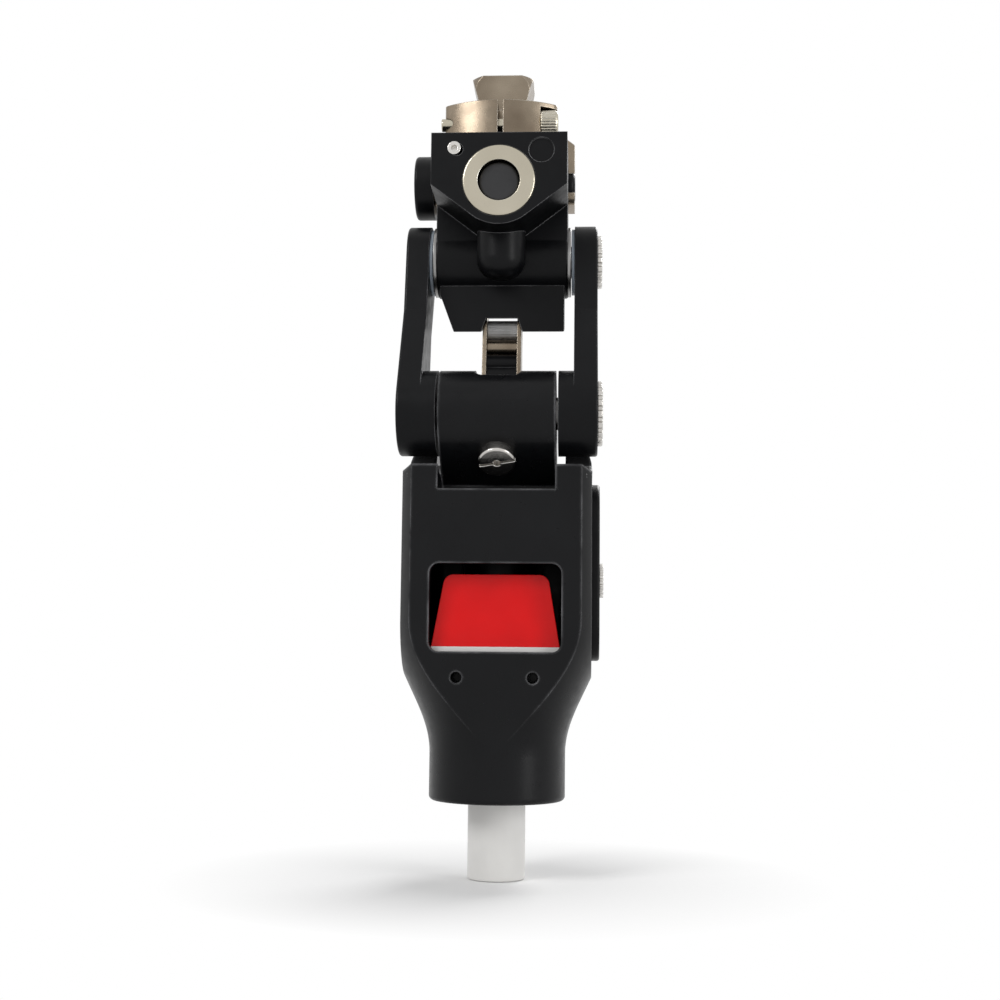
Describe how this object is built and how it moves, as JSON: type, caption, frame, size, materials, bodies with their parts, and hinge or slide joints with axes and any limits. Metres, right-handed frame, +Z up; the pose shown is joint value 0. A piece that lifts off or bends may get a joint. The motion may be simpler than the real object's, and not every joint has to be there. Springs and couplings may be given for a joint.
{
  "type": "prosthetic knee joint",
  "caption": "Polycentric prosthetic knee: black chassis with pylon collar and window, paired front links, rear link, knee head with stance rocker and pyramid.",
  "frame": {"origin": "centre of the pylon collar's lower face", "axes": "+Z up along the leg, +X to the right in the front view, -Y to the front"},
  "size_m": [0.062, 0.0545, 0.2516],
  "materials": {
    "black_anodised": "satin black anodised",
    "nickel": "warm satin nickel plate",
    "bright_steel": "bright steel",
    "steel": "ground steel",
    "red_gloss": "gloss red moulding",
    "white_plastic": "matt white plastic",
    "pale_plastic": "pale grey-blue bearing plastic",
    "black_plastic": "black plastic",
    "rubber": "black rubber"
  },
  "bodies": {
    "chassis": {"chassis": "black_anodised", "chin_screw": "bright_steel", "lower_bushes": "steel", "lower_link_pin": "steel", "damper_cylinder": "steel", "return_spring": "steel", "red_cover": "red_gloss", "edge_strip": "white_plastic", "cover_bracket": "black_plastic", "guard_tube": "white_plastic", "pinch_screw": "bright_steel", "rear_cover": "black_plastic", "rear_cover_screws": "bright_steel", "side_cover": "black_anodised", "side_screw_right": "bright_steel", "side_screw_left": "bright_steel"},
    "front_links": {"right_link": "black_anodised", "left_link": "black_anodised", "lower_axle": "steel", "upper_axle": "steel", "lower_axle_cap": "bright_steel", "upper_axle_cap": "bright_steel", "thrust_washers": "pale_plastic"},
    "head": {"knee_head": "black_anodised", "head_bushes": "steel", "set_screw": "bright_steel", "upper_link_pin": "steel", "stance_rubber": "rubber"},
    "adjuster": {"ring_nut": "nickel"},
    "rocker": {"stance_rocker": "nickel", "rear_axle": "black_anodised", "clamp_screw": "nickel"},
    "pyramid": {"pyramid": "nickel"},
    "rear_link": {"link_cheeks": "nickel", "link_core": "black_anodised", "link_roller": "nickel", "link_spacer": "steel"},
    "plunger": {"plunger": "steel"}
  },
  "joints": [
    {"name": "knee_flexion", "type": "hinge", "parent": "chassis", "child": "front_links", "pos_m": [0, -0.012, 0.1163], "axis": [-1, 0, 0], "range_deg": [0, 37.5], "stiffness_Nm_per_rad": 0.95, "springref_deg": -2.44},
    {"name": "head_flexion", "type": "hinge", "parent": "front_links", "child": "head", "pos_m": [0, 0.0065, 0.1684], "axis": [-1, 0, 0], "range_deg": [0, 82.51]},
    {"name": "rear_link_swing", "type": "hinge", "parent": "chassis", "child": "rear_link", "pos_m": [0, 0.002, 0.112], "axis": [-1, 0, 0], "range_deg": [0, 19.01]},
    {"name": "damper_stroke", "type": "slide", "parent": "chassis", "child": "plunger", "axis": [0, 0, -1], "range_m": [0, 0.00305], "deforming": ["return_spring"]},
    {"name": "stance_rock", "type": "hinge", "parent": "head", "child": "rocker", "pos_m": [0, 0.012, 0.1949], "axis": [-1, 0, 0], "range_deg": [0, 5], "stiffness_Nm_per_rad": 10, "springref_deg": -1.15, "deforming": ["stance_rubber"]},
    {"name": "pyramid_turn", "type": "hinge", "parent": "rocker", "child": "pyramid", "pos_m": [0, 0, 0.21], "axis": [0, 0, 1], "continuous": true},
    {"name": "preload_turn", "type": "hinge", "parent": "head", "child": "adjuster", "pos_m": [0, -0.02, 0.1854], "axis": [0, -1, 0], "continuous": true}
  ],
  "couplings": [
    {"joint": "head_flexion", "follows": "knee_flexion", "ratio": 2.2},
    {"joint": "rear_link_swing", "follows": "knee_flexion", "ratio": 0.50667},
    {"joint": "damper_stroke", "follows": "knee_flexion", "m_per_rad": 0.004584}
  ]
}
